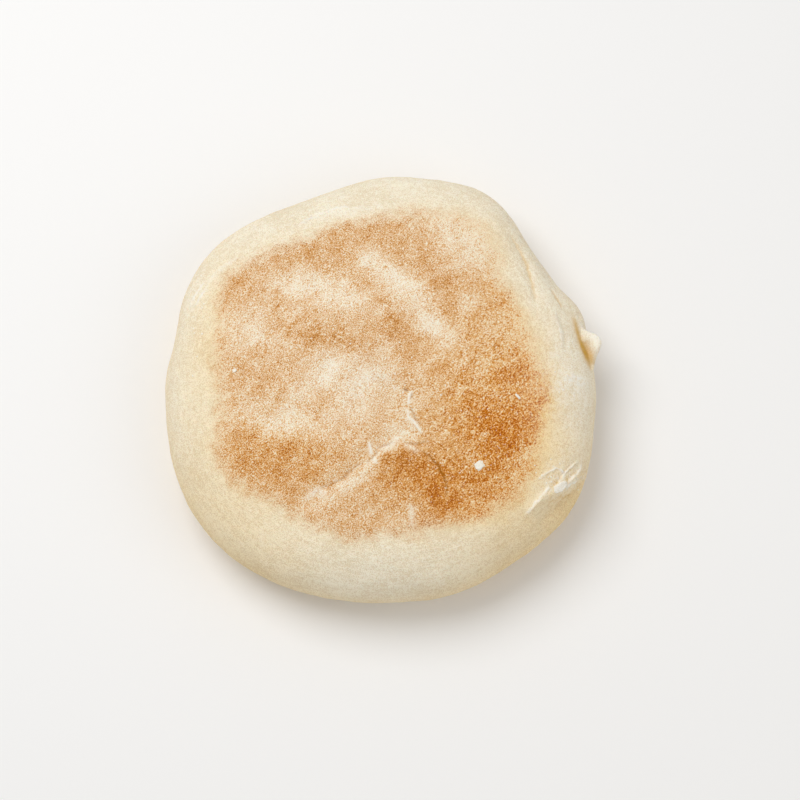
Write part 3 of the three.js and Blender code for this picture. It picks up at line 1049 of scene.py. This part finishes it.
def flour_specks(crust):
    """Small grains of flour, scattered where it stayed, joined as one piece."""
    draw = random.Random(SPECK_SEED)
    grains = []
    for patch in SPECKS.values():
        for _ in range(patch["count"]):
            x, y = (draw.gauss(c, s / 2) for c, s in zip(patch["at"], patch["spread"]))
            spot, normal = landing(crust, x, y)
            size = draw.uniform(*SPECK_SIZES)
            if spot is None:
                continue
            deselect_all()
            bpy.ops.mesh.primitive_ico_sphere_add(subdivisions=2, radius=size * MM)
            stretch = Matrix.Diagonal((1, draw.uniform(*SPECK_STRETCH), SPECK_FLATNESS, 1))
            bpy.context.object.data.transform(lying(spot, normal) @ stretch)
            grains.append(bpy.context.object)
    deselect_all()
    for grain in grains:
        grain.select_set(True)
    bpy.context.view_layer.objects.active = grains[0]
    bpy.ops.object.join()
    grains[0].name = grains[0].data.name = "flour_specks"
    return grains[0]


# ---- camera, light and stage ----
CAMERA_ELEVATION = 75  # degrees above the bread's face
CAMERA_DISTANCE = 760
CAMERA_TARGET_HEIGHT = 19
CAMERA_ASIDE = 6.94  # how far right of the bread's axis it looks
CAMERA_DOWN = 2.78
PICTURE_WIDTH = 277.6  # that it takes in at the target
SENSOR = 36
WINDOW = dict(place=(-0.37, 0.32, 0.90), size=0.7, power=5.55, colour=(1.0, 0.99, 0.97))
FILL = dict(place=(0.6, -0.25, 0.6), size=0.7, power=1.1, colour=(1.0, 0.95, 0.87))
ROOM_LIGHT = 0.47
FLOOR_SIZE = 3


def add_camera():
    data = bpy.data.cameras.new("portrait")
    camera = bpy.data.objects.new("portrait", data)
    bpy.context.collection.objects.link(camera)
    tilt = math.radians(90 - CAMERA_ELEVATION)
    turned = Matrix.Rotation(tilt, 4, "X")
    target = AXIS + Vector((0, 0, CAMERA_TARGET_HEIGHT * MM))
    offset = Vector((CAMERA_ASIDE, -CAMERA_DOWN, CAMERA_DISTANCE)) * MM
    camera.matrix_world = Matrix.Translation(target) @ turned @ Matrix.Translation(offset)
    data.sensor_width = SENSOR
    data.lens = SENSOR * CAMERA_DISTANCE / PICTURE_WIDTH
    data.clip_start = 0.01
    bpy.context.scene.camera = camera


def area_light(name, place, size, power, colour):
    data = bpy.data.lights.new(name, "AREA")
    data.shape = "DISK"
    data.size = size
    data.energy = power
    data.color = colour
    light = bpy.data.objects.new(name, data)
    bpy.context.collection.objects.link(light)
    light.location = place
    light.rotation_euler = (-Vector(place)).to_track_quat("-Z", "Y").to_euler()


def add_light():
    area_light("window", **WINDOW)
    area_light("fill", **FILL)
    world = bpy.data.worlds.new("soft_studio")
    world.use_nodes = True
    room = world.node_tree.nodes["Background"].inputs
    room["Color"].default_value = (1, 1, 1, 1)
    room["Strength"].default_value = ROOM_LIGHT
    bpy.context.scene.world = world
    bpy.context.scene.view_settings.view_transform = "Standard"


def add_floor():
    deselect_all()
    bpy.ops.mesh.primitive_plane_add(size=FLOOR_SIZE, location=(0, 0, 0))
    floor = bpy.context.object
    floor.name = "floor"
    floor.data.materials.append(new_material("pale_floor", FLOOR_SHADER)[0])


def lay_skin(furrows):
    """The blank pulled out of true, in an even skin that is cut finer where its fine lines will be."""
    skin = round_blank()
    skin.name = skin.data.name = "crust"
    pull_wall(skin)
    even_skin(skin)
    points = points_of(skin)
    lines = [path for lot in (FACE_RIDGES, SOFT_RIDGES, WALL_RIDGES, furrows) for path in lot.values()]
    near = near_paths(wandering(points, **RIDGE_WANDER), lines, FINE_REACH)
    cut_finer(skin, near & (points[:, 2] > STROKES_ABOVE))
    for name, swelling in UNEVENNESS.items():
        roughen(skin, name, **swelling)
    return skin


def stroke_skin(skin, furrows):
    """The hollows, folds, furrows and ridges."""
    points = points_of(skin)
    strayed = wandering(points, **HOLLOWS_WANDER)
    hollows = sum(oval(strayed, **hollow) * hollow["depth"] for hollow in FACE_HOLLOWS.values())
    press(skin, "hollows", hollows * (points[:, 2] > BELLY_HEIGHT), "Z")
    press(skin, "broad folds", folded(points, BROAD_PRESSED))
    raise_up(skin, "broad swells", folded(points, BROAD_RAISED))
    ridged = wandering(points, **RIDGE_WANDER)
    press(skin, "furrows", along_all(ridged, furrows, FURROW_WIDTH) * FURROW_DEPTH)
    raise_up(skin, "soft ridges", along_all(ridged, SOFT_RIDGES, SOFT_RIDGE_WIDTH) * SOFT_RIDGE_HEIGHT)
    raise_up(skin, "face ridges", along_all(ridged, FACE_RIDGES, RIDGE_WIDTH) * FACE_RIDGE_HEIGHT)
    raise_up(skin, "wall ridges", along_all(ridged, WALL_RIDGES, RIDGE_WIDTH) * WALL_RIDGE_HEIGHT)


def shape_crust():
    furrows = {**FACE_FURROWS, **BROWN_SHADE_FURROWS, **AMBER_SHADE_FURROWS}
    skin = lay_skin(furrows)
    join_ear(skin, ear_leaf())
    stroke_skin(skin, furrows)
    return skin


def main():
    noise.seed_set(NOISE_SEED)
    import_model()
    crust = shape_crust()
    paint_crust(crust)
    crust.data.materials.clear()
    crust.data.materials.append(crust_material())
    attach(crust, BODY)
    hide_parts(NODE)

    flour = flour_material()
    scraps = [flake(crust, name, **facts) for name, facts in FLAKES.items()]
    for scrap in [*scraps, flour_specks(crust)]:
        scrap.data.materials.append(flour)
        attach(scrap, BODY)
    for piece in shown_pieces():
        print(piece.name, sum(len(p.vertices) - 2 for p in piece.data.polygons))

    add_floor()
    add_light()
    add_camera()


main()
